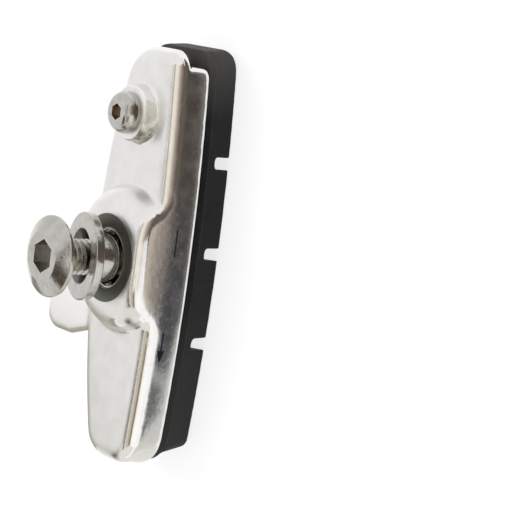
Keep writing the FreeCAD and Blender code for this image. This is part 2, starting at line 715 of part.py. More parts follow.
washer = new_body("ball_washer")
lean = FreeCAD.Rotation(FreeCAD.Vector(1, 0, 0), size["washer_tilt"])
washer.Placement = FreeCAD.Placement(FreeCAD.Vector(0, 0, 0), lean)
washer.setExpression("Placement.Base.z", total(*ball_z)[1])
washer.setExpression("Placement.Rotation.Angle", "sizes.washer_tilt * 1 deg")
tip_reach = math.sqrt(size["ball_radius"] ** 2 - size["nose_reach"] ** 2)
tip_text = "sqrt((sizes.ball_radius * 1 mm)^2 - (sizes.nose_reach * 1 mm)^2)"
washer_sketch = new_sketch(washer, "washer_profile", "XZ_Plane")
flange_back = total("washer_length", "-washer_flange")
profile(washer_sketch, [
    (total("bore_tip"), total("-nose_reach")),
    ((tip_reach, tip_text), total("-nose_reach")),
    (total("ball_radius"), zero),
    (total("ball_radius"), flange_back),
    (total("flange_radius"), flange_back),
    (total("flange_radius"), total("washer_length")),
    (total("bore_front"), total("washer_length")),
    (total("bore_back"), flange_back),
    (total("bore_radius"), zero),
], {1: (total("ball_radius"), (0.0, 0.0))})
revolve(washer, "Revolution", "washer_body", washer_sketch)


# Rubber button: a short round stud under the ear with a stem in its hole

button = new_body("guide_bumper")
button.setExpression("Placement.Base.x", "sizes.button_x * 1 mm")
button.setExpression("Placement.Base.y", "-sizes.button_y * 1 mm")
button.setExpression("Placement.Base.z", total(*ear_z)[1])
stem = total("stem_radius", "-pad_fit")
button_sketch = new_sketch(button, "button_profile", "XZ_Plane")
profile(button_sketch, [
    (zero, total("-button_height")),
    (total("button_radius", "-button_chamfer"), total("-button_height")),
    (total("button_radius"), total("button_chamfer", "-button_height")),
    (total("button_radius"), zero),
    (stem, zero),
    (stem, total("stem_length")),
    (zero, total("stem_length")),
])
revolve(button, "Revolution", "button_body", button_sketch)
doc.recompute()


# Checks and export

for item in doc.Objects:
    if "Invalid" in item.State or "Error" in item.State:
        raise RuntimeError("%s is %s" % (item.Name, item.State))
os.makedirs("parts", exist_ok=True)
for body in (holder, pad, screw, bolt, washer, button):
    shape = body.Shape
    if shape.isNull() or not shape.isValid() or len(shape.Solids) != 1:
        raise RuntimeError("%s has no single valid solid" % body.Label)
    shape.exportStep("parts/%s.step" % body.Label)
    print(body.Label, "volume %.1f mm3" % shape.Volume)
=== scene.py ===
import math
import bmesh
import bpy
from mathutils import Matrix, Vector


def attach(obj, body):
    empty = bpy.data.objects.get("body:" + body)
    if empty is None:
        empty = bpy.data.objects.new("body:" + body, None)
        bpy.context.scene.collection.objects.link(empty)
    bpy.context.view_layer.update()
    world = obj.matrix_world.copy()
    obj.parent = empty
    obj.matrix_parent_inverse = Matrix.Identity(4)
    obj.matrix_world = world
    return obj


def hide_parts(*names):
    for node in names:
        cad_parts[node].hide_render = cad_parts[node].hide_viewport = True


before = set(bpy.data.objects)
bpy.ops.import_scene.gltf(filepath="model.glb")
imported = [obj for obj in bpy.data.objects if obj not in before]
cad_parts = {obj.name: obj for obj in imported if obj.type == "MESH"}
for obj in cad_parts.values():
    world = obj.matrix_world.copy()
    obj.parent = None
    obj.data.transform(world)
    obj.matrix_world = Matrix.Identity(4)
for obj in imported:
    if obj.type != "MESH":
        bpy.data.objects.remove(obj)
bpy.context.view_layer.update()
scene = bpy.context.scene
mm = 0.001  # sizes below are in millimetres, the scene is in metres
mergeGap = 1e-7  # points nearer than this, in metres, become one


def freshObject(name, mesh):
    piece = bpy.data.objects.new(name, mesh)
    scene.collection.objects.link(piece)
    return piece


def meshFrom(bm, name):
    mesh = bpy.data.meshes.new(name)
    bm.to_mesh(mesh)
    bm.free()
    return mesh


def shadeSoft(mesh, sharpAngle):
    mesh.shade_smooth()
    mesh.set_sharp_from_angle(angle=math.radians(sharpAngle))


def dress(piece, materials):
    for material in materials:
        piece.data.materials.append(material)
    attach(piece, "root")


# Node helpers for the materials
def newMaterial(name):
    material = bpy.data.materials.new(name)
    material.use_nodes = True
    nodes = material.node_tree.nodes
    shader = nodes["Principled BSDF"]
    return material, nodes, material.node_tree.links, shader


def noiseNode(nodes, links, coords, scale, detail=4.0, rough=0.55):
    noise = nodes.new("ShaderNodeTexNoise")
    noise.inputs["Scale"].default_value = scale
    noise.inputs["Detail"].default_value = detail
    noise.inputs["Roughness"].default_value = rough
    links.new(coords, noise.inputs["Vector"])
    return noise.outputs["Fac"]


def spread(nodes, links, value, low, high, fromLow=0.3, fromHigh=0.7):
    node = nodes.new("ShaderNodeMapRange")
    links.new(value, node.inputs["Value"])
    limits = {"From Min": fromLow, "From Max": fromHigh, "To Min": low, "To Max": high}
    for label, number in limits.items():
        node.inputs[label].default_value = number
    return node.outputs["Result"]


def mixColours(nodes, links, factor, first, second):
    node = nodes.new("ShaderNodeMix")
    node.data_type = "RGBA"
    links.new(factor, node.inputs["Factor"])
    for spot, colour in ((6, first), (7, second)):
        if isinstance(colour, tuple):
            node.inputs[spot].default_value = colour + (1.0,)
        else:
            links.new(colour, node.inputs[spot])
    return node.outputs[2]


def calc(nodes, links, operation, first, second=None):
    node = nodes.new("ShaderNodeMath")
    node.operation = operation
    for spot, value in enumerate((first, second)):
        if value is None:
            continue
        if isinstance(value, (int, float)):
            node.inputs[spot].default_value = value
        else:
            links.new(value, node.inputs[spot])
    return node.outputs[0]


def bumpNode(nodes, links, height, strength, distance):
    bump = nodes.new("ShaderNodeBump")
    bump.inputs["Strength"].default_value = strength
    bump.inputs["Distance"].default_value = distance
    links.new(height, bump.inputs["Height"])
    return bump.outputs["Normal"]


# Polished shell metal with the printed direction arrow on its outer wall
shellFinish = {
    "bright": (0.88, 0.872, 0.86),
    "dull": (0.82, 0.81, 0.795),
    "ink": (0.012, 0.012, 0.013),
    "roughLow": 0.09,
    "roughBack": 0.34,  # the back is satin, the walls are polished
    "roughCloud": 0.05,
    "roughSpeck": 0.14,
    "mottle": (0.10, 0.85),  # fine unevenness, strongest on the outer wall
    "mottleFrom": (0.95, 0.995),
    "moundReach": (6.6, 12.0),  # the flank of the boss is as satin as the back
    "moundSide": (3.2, 4.4),
    "moundLean": 0.25,  # the satin reaches further out on the rear flank
    "moundFoot": 11.95,
    # painted highlight: the ear's metal is made paler than the rest of the shell
    "earHighlight": (0.99, 0.985, 0.98),
    "earSide": (-8.8, -7.2),
    "cloudNoise": (420.0, 5.0, 0.6),  # noises are scale, detail and roughness
    "cloudRange": (0.35, 0.7),
    "speckNoise": (1300.0, 4.0, 0.6),
    "speckRange": (0.52, 0.74),
    "waveNoise": (300.0, 2.0, 0.5),
    "satinTilt": (0.80, 0.97),  # how squarely a face looks up, from polished to satin
    "bump": (0.045, 0.0004),
    "outerWall": 5.5,
    "arrowLevel": 9.1,
    "arrowTail": (-5.2, -1.5),
    "arrowShaft": (9.0, 12.0),
    "arrowTip": (11.5, 13.4),
    "lineHalf": 0.11,
    "tipHalf": 0.62,
    # painted reflection: the ring under the washer is darkened for the washer's shaded underside mirrored
    # in it
    "seat": (0.185, 0.185, 0.165),
    "seatRough": 0.5,
    "seatRing": (4.2, 6.05),
    "seatLevel": 14.9,
    "flankAxis": (-19.8, -0.602, 0.0),  # painted reflection: the flank of the small boss shows the screw mirrored in it as a pale to olive crescent
    "flankRing": (3.5, 4.4),
    "flankLevel": (12.1, 13.95),
    "flankPaleReflection": (0.90, 0.88, 0.82),
    "flankOliveReflection": (0.19, 0.165, 0.11),
    "flankReflectionNoise": (900.0, 3.0, 0.6),
    "flankReflectionPatches": (0.35, 1.0, 0.35, 0.6),
    "flankDarkening": (-1.2, 2.6),
    "flankFade": (-3.2, -1.4),  # its rear side is polished
    "flankRough": 0.30,
    "flankMatt": 0.6,
}


def betweenMask(nodes, links, value, low, high):
    above = calc(nodes, links, "GREATER_THAN", value, low)
    below = calc(nodes, links, "LESS_THAN", value, high)
    return calc(nodes, links, "MULTIPLY", above, below)


def arrowMask(nodes, links, coords, look):
    split = nodes.new("ShaderNodeSeparateXYZ")
    links.new(coords, split.inputs[0])
    alongX, outY, upZ = split.outputs
    above = calc(nodes, links, "SUBTRACT", upZ, look["arrowLevel"] * mm)
    aside = calc(nodes, links, "ABSOLUTE", above)
    slim = calc(nodes, links, "LESS_THAN", aside, look["lineHalf"] * mm)
    lines = None
    for low, high in (look["arrowTail"], look["arrowShaft"]):
        stretch = betweenMask(nodes, links, alongX, low * mm, high * mm)
        piece = calc(nodes, links, "MULTIPLY", slim, stretch)
        lines = piece if lines is None else calc(nodes, links, "MAXIMUM", lines, piece)
    base, tip = (spot * mm for spot in look["arrowTip"])
    narrowing = look["tipHalf"] * mm / (tip - base)
    room = calc(nodes, links, "MULTIPLY", calc(nodes, links, "SUBTRACT", tip, alongX), narrowing)
    head = calc(nodes, links, "LESS_THAN", aside, room)
    head = calc(nodes, links, "MULTIPLY", head, calc(nodes, links, "GREATER_THAN", alongX, base))
    outside = calc(nodes, links, "GREATER_THAN", outY, look["outerWall"] * mm)
    return calc(nodes, links, "MULTIPLY", outside, calc(nodes, links, "MAXIMUM", lines, head))


def axisReach(nodes, links, split):
    squares = [calc(nodes, links, "MULTIPLY", side, side) for side in split.outputs[:2]]
    return calc(nodes, links, "SQRT", calc(nodes, links, "ADD", *squares))


def seatMask(nodes, links, split, look):
    # painted reflection: the ring that the washer faces is darkened, standing in for the washer's shaded
    # underside mirrored in it
    inner, outer = (radius * mm for radius in look["seatRing"])
    ring = betweenMask(nodes, links, axisReach(nodes, links, split), inner, outer)
    high = calc(nodes, links, "GREATER_THAN", split.outputs[2], look["seatLevel"] * mm)
    return calc(nodes, links, "MULTIPLY", ring, high)


def moundMask(nodes, links, split, look):
    low, high = (radius * mm for radius in look["moundReach"])
    flank = betweenMask(nodes, links, axisReach(nodes, links, split), low, high)
    risen = calc(nodes, links, "GREATER_THAN", split.outputs[2], look["moundFoot"] * mm)
    flank = calc(nodes, links, "MULTIPLY", flank, risen)
    start, end = (spot * mm for spot in look["moundSide"])
    leaning = calc(nodes, links, "MULTIPLY", split.outputs[0], look["moundLean"])
    side = calc(nodes, links, "ADD", split.outputs[1], leaning)
    fade = spread(nodes, links, side, 1.0, 0.0, start, end)
    return calc(nodes, links, "MULTIPLY", flank, fade)


def reflectedFlank(nodes, links, coords, look):
    # returns where the flank lies, and its painted reflection tone, which darkens towards the front
    away = nodes.new("ShaderNodeVectorMath")
    away.operation = "SUBTRACT"
    links.new(coords, away.inputs[0])
    away.inputs[1].default_value = Vector(look["flankAxis"]) * mm
    split = nodes.new("ShaderNodeSeparateXYZ")
    links.new(away.outputs[0], split.inputs[0])
    inner, outer = (radius * mm for radius in look["flankRing"])
    low, high = (level * mm for level in look["flankLevel"])
    ring = betweenMask(nodes, links, axisReach(nodes, links, split), inner, outer)
    band = betweenMask(nodes, links, split.outputs[2], low, high)
    start, end = (spot * mm for spot in look["flankFade"])
    fade = spread(nodes, links, split.outputs[0], 0.0, 1.0, start, end)
    flank = calc(nodes, links, "MULTIPLY", calc(nodes, links, "MULTIPLY", ring, band), fade)
    start, end = (spot * mm for spot in look["flankDarkening"])
    frontward = spread(nodes, links, split.outputs[0], 0.0, 1.0, start, end)
    grain = noiseNode(nodes, links, coords, *look["flankReflectionNoise"])
    reflectionPatches = spread(nodes, links, grain, *look["flankReflectionPatches"])
    dark = calc(nodes, links, "MULTIPLY", frontward, reflectionPatches)
    return flank, mixColours(nodes, links, dark, look["flankPaleReflection"], look["flankOliveReflection"])


def polishedShell(look):
    material, nodes, links, shader = newMaterial("polishedShell")
    place = nodes.new("ShaderNodeTexCoord")
    coords = place.outputs["Object"]
    cloud = noiseNode(nodes, links, coords, *look["cloudNoise"])
    speck = noiseNode(nodes, links, coords, *look["speckNoise"])
    tone = spread(nodes, links, cloud, 0.0, 1.0, *look["cloudRange"])
    metal = mixColours(nodes, links, tone, look["bright"], look["dull"])
    split = nodes.new("ShaderNodeSeparateXYZ")
    links.new(coords, split.inputs[0])
    # painted highlight: the ear takes a paler metal tone
    earStart, earEnd = (spot * mm for spot in look["earSide"])
    onEar = spread(nodes, links, split.outputs[1], 1.0, 0.0, earStart, earEnd)
    metal = mixColours(nodes, links, onEar, metal, look["earHighlight"])
    # painted reflection: the ring under the washer takes a dark tone for the washer's shaded underside
    seat = seatMask(nodes, links, split, look)
    metal = mixColours(nodes, links, seat, metal, look["seat"])
    # painted reflection: the screw mirrored in the flank of the small boss, in patches
    flank, flankReflectionTone = reflectedFlank(nodes, links, coords, look)
    metal = mixColours(nodes, links, flank, metal, flankReflectionTone)
    ink = arrowMask(nodes, links, coords, look)
    links.new(mixColours(nodes, links, ink, metal, look["ink"]), shader.inputs["Base Color"])
    flankMatt = calc(nodes, links, "MULTIPLY", flank, look["flankMatt"])
    matt = calc(nodes, links, "MAXIMUM", ink, flankMatt)
    links.new(calc(nodes, links, "SUBTRACT", 1.0, matt), shader.inputs["Metallic"])
    tilt = nodes.new("ShaderNodeSeparateXYZ")
    links.new(place.outputs["Normal"], tilt.inputs[0])
    satin = spread(nodes, links, tilt.outputs[2], look["roughLow"], look["roughBack"], *look["satinTilt"])
    mound = calc(nodes, links, "MULTIPLY", moundMask(nodes, links, split, look), look["roughBack"])
    satin = calc(nodes, links, "MAXIMUM", satin, mound)
    cloudy = spread(nodes, links, cloud, 0.0, look["roughCloud"], *look["cloudRange"])
    worn = spread(nodes, links, speck, 0.0, look["roughSpeck"], *look["speckRange"])
    uneven = calc(nodes, links, "ADD", satin, calc(nodes, links, "ADD", cloudy, worn))
    seatShadeRough = calc(nodes, links, "MULTIPLY", seat, look["seatRough"])
    flankRoughness = calc(nodes, links, "MULTIPLY", flank, look["flankRough"])
    dullest = calc(nodes, links, "MAXIMUM", seatShadeRough, flankRoughness)
    links.new(calc(nodes, links, "MAXIMUM", uneven, dullest), shader.inputs["Roughness"])
    waves = noiseNode(nodes, links, coords, *look["waveNoise"])
    mottle = spread(nodes, links, tilt.outputs[1], *look["mottle"], *look["mottleFrom"])
    height = calc(nodes, links, "ADD", calc(nodes, links, "MULTIPLY", speck, mottle), waves)
    links.new(bumpNode(nodes, links, height, *look["bump"]), shader.inputs["Normal"])
    return material


# Plated steel of the bolt, the washer and the screw
platedFinish = {
    "bright": (0.56, 0.55, 0.52),
    "dull": (0.455, 0.44, 0.40),
    "roughLow": 0.10,
    "roughHigh": 0.22,
    "cloudNoise": (700.0, 5.0, 0.6),
    "cloudRange": (0.38, 0.72),
    "speckNoise": (3200.0, 2.0, 0.5),
    "bump": (0.05, 0.0002),
}


def platedSteel(look):
    material, nodes, links, shader = newMaterial("platedSteel")
    coords = nodes.new("ShaderNodeTexCoord").outputs["Object"]
    cloud = noiseNode(nodes, links, coords, *look["cloudNoise"])
    speck = noiseNode(nodes, links, coords, *look["speckNoise"])
    tone = spread(nodes, links, cloud, 0.0, 1.0, *look["cloudRange"])
    links.new(mixColours(nodes, links, tone, look["bright"], look["dull"]), shader.inputs["Base Color"])
    shader.inputs["Metallic"].default_value = 1.0
    rough = spread(nodes, links, speck, look["roughLow"], look["roughHigh"])
    links.new(rough, shader.inputs["Roughness"])
    links.new(bumpNode(nodes, links, speck, *look["bump"]), shader.inputs["Normal"])
    return material


# Painted shade: the key sockets and the washer's bore are darkened where shade falls in these recesses,
# each as two tones and a roughness
recessShadeFinish = {
    "boltSocketShade": ((0.40, 0.39, 0.365), (0.56, 0.545, 0.51), 0.30),
    "boreShade": ((0.13, 0.127, 0.112), (0.21, 0.205, 0.185), 0.26),
    "screwSocketShade": ((0.34, 0.265, 0.205), (0.54, 0.45, 0.36), 0.34),
    "cloudNoise": (900.0, 4.0, 0.6),
    "cloudRange": (0.35, 0.7),
    "roughSpread": (0.8, 1.2),
    "bump": (0.05, 0.0002),
}


def recessShadeMetal(name, look):
    first, second, rough = look[name]
    material, nodes, links, shader = newMaterial(name)
    coords = nodes.new("ShaderNodeTexCoord").outputs["Object"]
    cloud = noiseNode(nodes, links, coords, *look["cloudNoise"])
    tone = spread(nodes, links, cloud, 0.0, 1.0, *look["cloudRange"])
    links.new(mixColours(nodes, links, tone, first, second), shader.inputs["Base Color"])
    shader.inputs["Metallic"].default_value = 1.0
    smooth, coarse = (rough * share for share in look["roughSpread"])
    links.new(spread(nodes, links, cloud, smooth, coarse), shader.inputs["Roughness"])
    links.new(bumpNode(nodes, links, cloud, *look["bump"]), shader.inputs["Normal"])
    return material


# Moulded rubber of the pad and the button
rubberFinish = {
    "deep": (0.0060, 0.0056, 0.0056),
    "worn": (0.0125, 0.0118, 0.0118),
    "paleEndTone": (0.055, 0.053, 0.051),  # the pad's ends are greyer: painted light at the rear end, and a plain paler tone towards the front end
    "rearEnd": (-28.0, -20.0),
    "frontEnd": (2.0, 16.0),
    "frontPaling": 0.28,
    "roughLow": 0.52,
    "roughHigh": 0.70,
    "specular": 0.14,
    "cloudNoise": (260.0, 5.0, 0.6),
    "cloudRange": (0.35, 0.75),
    "grainNoise": (5200.0, 3.0, 0.6),
    "bump": (0.25, 0.00012),
}


def mouldedRubber(look):
    material, nodes, links, shader = newMaterial("mouldedRubber")
    coords = nodes.new("ShaderNodeTexCoord").outputs["Object"]
    cloud = noiseNode(nodes, links, coords, *look["cloudNoise"])
    grain = noiseNode(nodes, links, coords, *look["grainNoise"])
    tone = spread(nodes, links, cloud, 0.0, 1.0, *look["cloudRange"])
    split = nodes.new("ShaderNodeSeparateXYZ")
    links.new(coords, split.inputs[0])
    rearStart, rearStop = (spot * mm for spot in look["rearEnd"])
    frontStart, frontStop = (spot * mm for spot in look["frontEnd"])
    # painted light: the rear end is paled as if lit from above the rear; the front end is only made paler
    rearPaintedLight = spread(nodes, links, split.outputs[0], 1.0, 0.0, rearStart, rearStop)
    frontPaling = spread(nodes, links, split.outputs[0], 0.0, look["frontPaling"], frontStart, frontStop)
    endPaling = calc(nodes, links, "MAXIMUM", rearPaintedLight, frontPaling)
    tint = mixColours(nodes, links, tone, look["deep"], look["worn"])
    links.new(mixColours(nodes, links, endPaling, tint, look["paleEndTone"]), shader.inputs["Base Color"])
    rough = spread(nodes, links, grain, look["roughLow"], look["roughHigh"])
    links.new(rough, shader.inputs["Roughness"])
    shader.inputs["Specular IOR Level"].default_value = look["specular"]
    links.new(bumpNode(nodes, links, grain, *look["bump"]), shader.inputs["Normal"])
    return material


shellMetal = polishedShell(shellFinish)
platedMetal = platedSteel(platedFinish)
boltSocketShade = recessShadeMetal("boltSocketShade", recessShadeFinish)
boreShade = recessShadeMetal("boreShade", recessShadeFinish)
screwSocketShade = recessShadeMetal("screwSocketShade", recessShadeFinish)
rubber = mouldedRubber(rubberFinish)
print("materials ready")


def mergedCopy(node):
    bm = bmesh.new()
    bm.from_mesh(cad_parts[node].data)
    bmesh.ops.remove_doubles(bm, verts=bm.verts, dist=mergeGap)
    return bm


# Cast and moulded pieces: the CAD solid, merged, evenly meshed and softened at its edges
softenFactor = 0.5


def softenedCopy(name, node, look):
    piece = freshObject(name, meshFrom(mergedCopy(node), name))
    even = piece.modifiers.new("even", "REMESH")
    even.mode = "VOXEL"
    even.voxel_size = look["voxel"] * mm
    even.use_smooth_shade = True
    soften = piece.modifiers.new("soften", "SMOOTH")
    soften.factor = softenFactor
    soften.iterations = look["softTurns"]
    if "kept" in look:
        thin = piece.modifiers.new("thin", "DECIMATE")
        thin.ratio = look["kept"]
    bpy.context.view_layer.update()
    shown = piece.evaluated_get(bpy.context.evaluated_depsgraph_get())
    mesh = bpy.data.meshes.new_from_object(shown)
    piece.modifiers.clear()
    piece.data = mesh
    mesh.shade_smooth()
    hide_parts(node)
    print(name, len(mesh.polygons), "faces")
    return piece


shellLook = {"voxel": 0.20, "softTurns": 14}
shell = softenedCopy("polished_shell", "shoe_holder", shellLook)
dress(shell, [shellMetal])

# the pad is meshed finely, so that its edges run straight, and then thinned
padLook = {"voxel": 0.13, "softTurns": 17, "kept": 0.45}
pad = softenedCopy("rubber_pad", "brake_pad", padLook)
dress(pad, [rubber])


# Turned pieces
roundSteps = 8
hexSides = 6


def spinProfile(bm, corners, roundings, steps, openTop=False):
    # corners are (radius, height) pairs in millimetres, with a rounding for each one
    verts = [bm.verts.new((radius * mm, 0.0, height * mm)) for radius, height in corners]
    bm.faces.new(verts)
    for size in sorted(set(roundings) - {0}):
        chosen = [vert for vert, rounding in zip(verts, roundings) if rounding == size]
        bmesh.ops.bevel(bm, geom=chosen, offset=size * mm, offset_type="OFFSET", affect="VERTICES",
                        segments=roundSteps, profile=0.5, material=-1)
    bmesh.ops.delete(bm, geom=list(bm.faces), context="FACES_ONLY")
    if openTop:
        bm.edges.remove(bm.edges.get((verts[0], verts[-1])))
    bmesh.ops.spin(bm, geom=list(bm.verts) + list(bm.edges), cent=(0, 0, 0), axis=(0, 0, 1),
                   dvec=(0, 0, 0), angle=math.tau, steps=steps, use_merge=True)
    bmesh.ops.remove_doubles(bm, verts=bm.verts, dist=mergeGap)


def keySocket(bm, acrossFlats, mouthDrop, depth, steps):
    # the open ring on top of the head is drawn in to a hexagon, then down to a floor
    rim = [e for e in bm.edges if e.is_boundary]
    top = max(v.co.z for e in rim for v in e.verts)
    place = Matrix.Translation((0, 0, top - mouthDrop * mm)) @ Matrix.Rotation(math.pi / 2, 4, "Z")
    corner = acrossFlats / math.sqrt(3) * mm
    made = bmesh.ops.create_circle(bm, cap_ends=False, segments=hexSides, radius=corner, matrix=place)
    hexEdges = list({e for v in made["verts"] for e in v.link_edges})
    bmesh.ops.subdivide_edges(bm, edges=hexEdges, cuts=steps // hexSides - 1)
    hexEdges = [e for e in bm.edges if e.is_wire]
    bmesh.ops.bridge_loops(bm, edges=rim + hexEdges)
    walls = bmesh.ops.extrude_edge_only(bm, edges=hexEdges)["geom"]
    floorVerts = {g for g in walls if isinstance(g, bmesh.types.BMVert)}
    newEdges = [g for g in walls if isinstance(g, bmesh.types.BMEdge)]
    floorEdges = [e for e in newEdges if set(e.verts) <= floorVerts]
    bmesh.ops.translate(bm, verts=list(floorVerts), vec=(0, 0, -depth * mm))
    bmesh.ops.contextual_create(bm, geom=floorEdges)
    # painted shade: the socket's walls and floor take the second, darker material
    for face in {f for v in floorVerts for f in v.link_faces}:
        face.material_index = 1


def finishTurned(bm, name, place, sharpAngle=40):
    bmesh.ops.recalc_face_normals(bm, faces=bm.faces)
    bmesh.ops.transform(bm, matrix=place, verts=bm.verts)
    mesh = meshFrom(bm, name)
    shadeSoft(mesh, sharpAngle)
    print(name, len(mesh.polygons), "faces")
    return freshObject(name, mesh)


boltLook = {
    "headBase": 23.85,
    "head": [(0, -1.4), (2.0, -1.4), (2.46, -0.95), (2.46, 0),
             (5.5, 0), (5.5, 0.52), (3.4, 1.7), (2.62, 1.7)],
    "rounding": [0, 0, 0, 0, 0.12, 0.2, 0.1, 0],
    "steps": 72,
    "key": 4.0,
    "keyMouth": 0.15,
    "keyDepth": 2.1,
    "crest": 2.45,
    "root": 2.06,
    "pitch": 0.8,
    "tooth": [("root", 0.0), ("root", 0.16), ("crest", 0.43),  # parts of a pitch
              ("crest", 0.57), ("root", 0.84), ("root", 1.0)],
    "toothMerge": 2e-7,
    "threadStart": 10.45,
    "turns": 15,  # the thread ends in the neck, below the socket
    "stepsPerTurn": 40,
}


def threadedShank(look):
    bm = bmesh.new()
    pitch, start = look["pitch"], look["threadStart"]
    spots = [(look[edge] * mm, 0, (start + part * pitch) * mm) for edge, part in look["tooth"]]
    verts = [bm.verts.new(spot) for spot in spots]
    edges = [bm.edges.new(pair) for pair in zip(verts, verts[1:])]
    steps = look["turns"] * look["stepsPerTurn"]
    climb = (0, 0, pitch * mm / look["stepsPerTurn"])
    bmesh.ops.spin(bm, geom=verts + edges, cent=(0, 0, 0), axis=(0, 0, 1), angle=math.tau * look["turns"],
                   dvec=climb, steps=steps, use_merge=False)
    bmesh.ops.remove_doubles(bm, verts=bm.verts, dist=look["toothMerge"])
    bmesh.ops.holes_fill(bm, edges=[e for e in bm.edges if e.is_boundary], sides=0)
    bmesh.ops.recalc_face_normals(bm, faces=bm.faces)
    return meshFrom(bm, "threaded_shank")


def socketBolt(look):
    bm = bmesh.new()
    spinProfile(bm, look["head"], look["rounding"], look["steps"], openTop=True)
    keySocket(bm, look["key"], look["keyMouth"], look["keyDepth"], look["steps"])
    bmesh.ops.translate(bm, verts=bm.verts, vec=(0, 0, look["headBase"] * mm))
    shank = threadedShank(look)
    bm.from_mesh(shank)
    bpy.data.meshes.remove(shank)
    return finishTurned(bm, "socket_bolt", Matrix.Identity(4))


bolt = socketBolt(boltLook)
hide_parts("fixing_bolt")
dress(bolt, [platedMetal, boltSocketShade])


washerLook = {
    "profile": [(2.84, -1.2), (3.07, -1.2), (3.24, -0.62), (3.3, 0.0), (3.28, 0.9), (3.2, 2.15),
                (6.0, 2.15), (6.0, 3.4), (3.75, 3.4), (3.06, 2.15), (2.64, 0.0)],
    "rounding": [0, 0.08, 0, 0, 0, 0, 0.2, 0.2, 0.1, 0, 0],
    "steps": 72,
    "boreReach": 3.15,
    "mouthReach": 3.9,
    "mouthFoot": 2.2,
    "ballCentre": 15.55,
    "lean": 13.0,
}


def ballWasher(look):
    bm = bmesh.new()
    spinProfile(bm, look["profile"], look["rounding"], look["steps"])
    # painted shade: the faces inside the bore take the second, darker material
    for face in bm.faces:
        level = face.calc_center_median().z
        reach = look["mouthReach"] if level > look["mouthFoot"] * mm else look["boreReach"]
        if level > 0 and max(v.co.xy.length for v in face.verts) < reach * mm:
            face.material_index = 1
    centre = Matrix.Translation((0, 0, look["ballCentre"] * mm))
    lean = Matrix.Rotation(math.radians(look["lean"]), 4, "X")
    return finishTurned(bm, "ball_washer_turned", centre @ lean)


washer = ballWasher(washerLook)
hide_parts("ball_washer")
dress(washer, [platedMetal, boreShade])


screwLook = {
    "profile": [(0, 0), (2.85, 0), (2.85, 2.1), (1.35, 2.1)],
    "rounding": [0, 0.1, 1.4, 0],
    "steps": 72,
    "key": 2.0,
    "keyMouth": 0.1,
    "keyDepth": 1.1,
    "shank": 1.5,
    "shankSteps": 36,
    "shankRise": 0.3,  # how far the shank reaches up into the head
    "place": (-19.8, -0.602, 14.05),
    "tip": 8.2,
}


def padScrew(look):
    bm = bmesh.new()
    spinProfile(bm, look["profile"], look["rounding"], look["steps"], openTop=True)
    keySocket(bm, look["key"], look["keyMouth"], look["keyDepth"], look["steps"])
    radius = look["shank"] * mm
    reach = look["place"][2] - look["tip"] + look["shankRise"]
    middle = Matrix.Translation((0, 0, (look["shankRise"] - reach / 2) * mm))
    bmesh.ops.create_cone(bm, cap_ends=True, segments=look["shankSteps"], radius1=radius,
                          radius2=radius, depth=reach * mm, matrix=middle)
    return finishTurned(bm, "button_screw", Matrix.Translation(Vector(look["place"]) * mm))


screw = padScrew(screwLook)
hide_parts("pad_screw")
dress(screw, [platedMetal, screwSocketShade])

buttonLook = {"voxel": 0.16, "softTurns": 3}
button = softenedCopy("ear_button", "guide_bumper", buttonLook)
dress(button, [rubber])
print("pieces ready")


# Stage: pale floor, soft light and the cards that the polished metal mirrors
stageLook = {
    "floorHalf": 3.0,
    "floorGlow": 0.78,
    "floorWhite": 0.80,
    "floorDrop": 0.0002,
    "floorNoise": (3.0, 2.0, 0.5),
    "floorTones": ((0.24, 0.24, 0.24), (0.26, 0.26, 0.26)),
    "sky": (0.975, 0.975, 0.97),
    "skyLevel": 0.95,
}


def floorMaterial(look):
    material, nodes, links, shader = newMaterial("paleFloor")
    coords = nodes.new("ShaderNodeTexCoord").outputs["Object"]
    cloud = noiseNode(nodes, links, coords, *look["floorNoise"])
    tone = mixColours(nodes, links, cloud, *look["floorTones"])
    nodes.remove(shader)
    seen = nodes.new("ShaderNodeEmission")
    seen.inputs["Strength"].default_value = look["floorGlow"]
    matt = nodes.new("ShaderNodeBsdfDiffuse")
    links.new(tone, matt.inputs["Color"])
    shown = nodes.new("ShaderNodeAddShader")
    links.new(seen.outputs[0], shown.inputs[0])
    links.new(matt.outputs[0], shown.inputs[1])
    plain = nodes.new("ShaderNodeBsdfDiffuse")
    plain.inputs["Color"].default_value = (look["floorWhite"],) * 3 + (1.0,)
    path = nodes.new("ShaderNodeLightPath")
    direct = calc(nodes, links, "MAXIMUM", path.outputs["Is Camera Ray"], path.outputs["Is Glossy Ray"])
    direct = calc(nodes, links, "MAXIMUM", direct, path.outputs["Is Transmission Ray"])
    choose = nodes.new("ShaderNodeMixShader")
    links.new(direct, choose.inputs[0])
    links.new(plain.outputs[0], choose.inputs[1])
    links.new(shown.outputs[0], choose.inputs[2])
    links.new(choose.outputs[0], nodes["Material Output"].inputs["Surface"])
    return material


def flatPanel(name, material, halfX, halfY, place):
    bm = bmesh.new()
    bmesh.ops.create_grid(bm, x_segments=1, y_segments=1, size=1.0)
    bmesh.ops.scale(bm, verts=bm.verts, vec=(halfX, halfY, 1.0))
    bmesh.ops.transform(bm, matrix=place, verts=bm.verts)
    panel = freshObject(name, meshFrom(bm, name))
    panel.data.materials.append(material)
    return panel


flatPanel("pale_floor", floorMaterial(stageLook), stageLook["floorHalf"], stageLook["floorHalf"],
          Matrix.Translation((0, 0, -stageLook["floorDrop"])))


def glowMaterial(name, colourFrom):
    material, nodes, links, shader = newMaterial(name)
    coords = nodes.new("ShaderNodeTexCoord").outputs["Object"]
    nodes.remove(shader)
    glow = nodes.new("ShaderNodeEmission")
    links.new(colourFrom(nodes, links, coords), glow.inputs["Color"])
    links.new(glow.outputs[0], nodes["Material Output"].inputs["Surface"])
    return material


cardNoise = (26.0, 3.0, 0.6)


def cloudedCard(first, second):
    def colourFrom(nodes, links, coords):
        cloud = noiseNode(nodes, links, coords, *cardNoise)
        return mixColours(nodes, links, spread(nodes, links, cloud, 0.0, 1.0), first, second)
    return colourFrom


